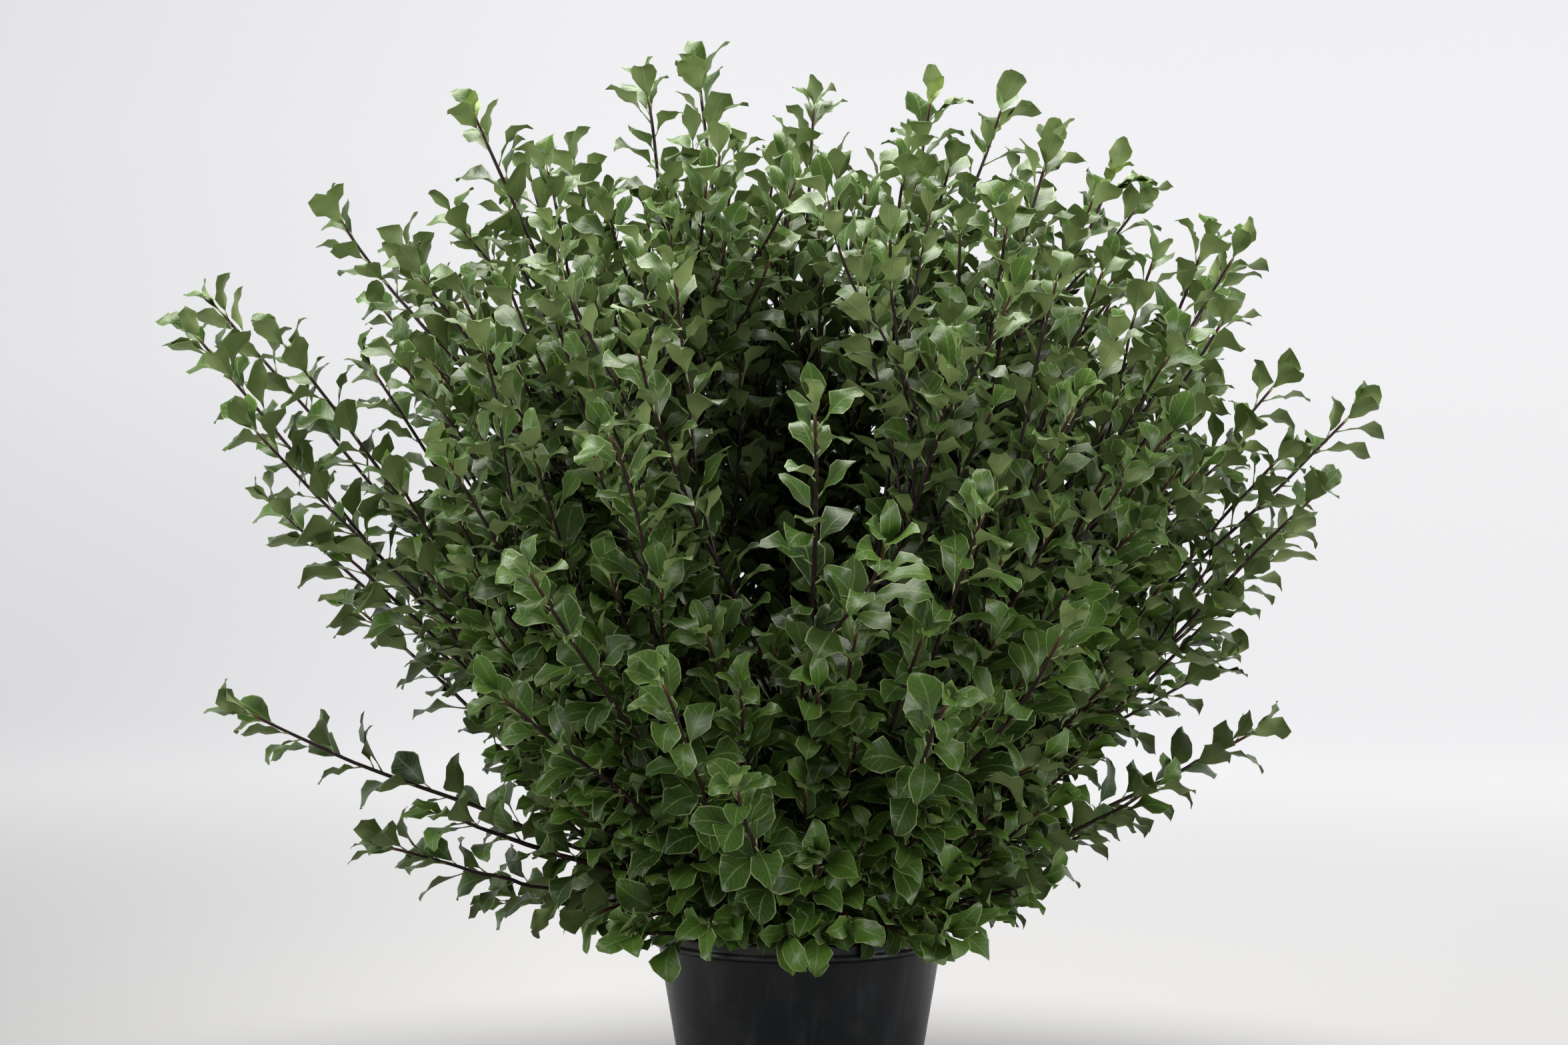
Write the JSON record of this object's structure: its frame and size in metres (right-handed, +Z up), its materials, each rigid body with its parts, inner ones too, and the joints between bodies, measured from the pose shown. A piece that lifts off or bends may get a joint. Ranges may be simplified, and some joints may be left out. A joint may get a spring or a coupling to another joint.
{
  "type": "potted pittosporum",
  "caption": "Bushy small-leaved evergreen shrub with wavy glossy leaves on dark stems, in a round tapered black nursery pot.",
  "frame": {"origin": "middle of the pot's flat underside, on the surface it stands on", "axes": "+Z up along the pot's axis; -Y is the side that the picture shows; +X is to the right in the picture"},
  "size_m": [1.1514, 0.8908, 1.084],
  "materials": {
    "pot": "satin black moulded plastic",
    "potting_mix": "rough dark composted bark",
    "leafy_stem": "glossy green leaves, matt grey-green below, on dark stems"
  },
  "bodies": {
    "root": {"pot": "pot", "potting_mix": "potting_mix", "leafy_stem_01": "leafy_stem", "leafy_stem_02": "leafy_stem", "leafy_stem_03": "leafy_stem", "leafy_stem_04": "leafy_stem", "leafy_stem_05": "leafy_stem", "leafy_stem_06": "leafy_stem", "leafy_stem_07": "leafy_stem", "leafy_stem_08": "leafy_stem", "leafy_stem_09": "leafy_stem", "leafy_stem_10": "leafy_stem", "leafy_stem_11": "leafy_stem", "leafy_stem_12": "leafy_stem", "leafy_stem_13": "leafy_stem", "leafy_stem_14": "leafy_stem", "leafy_stem_15": "leafy_stem", "leafy_stem_16": "leafy_stem", "leafy_stem_17": "leafy_stem", "leafy_stem_18": "leafy_stem", "leafy_stem_19": "leafy_stem", "leafy_stem_20": "leafy_stem", "leafy_stem_21": "leafy_stem", "leafy_stem_22": "leafy_stem", "leafy_stem_23": "leafy_stem", "leafy_stem_24": "leafy_stem"}
  },
  "joints": []
}
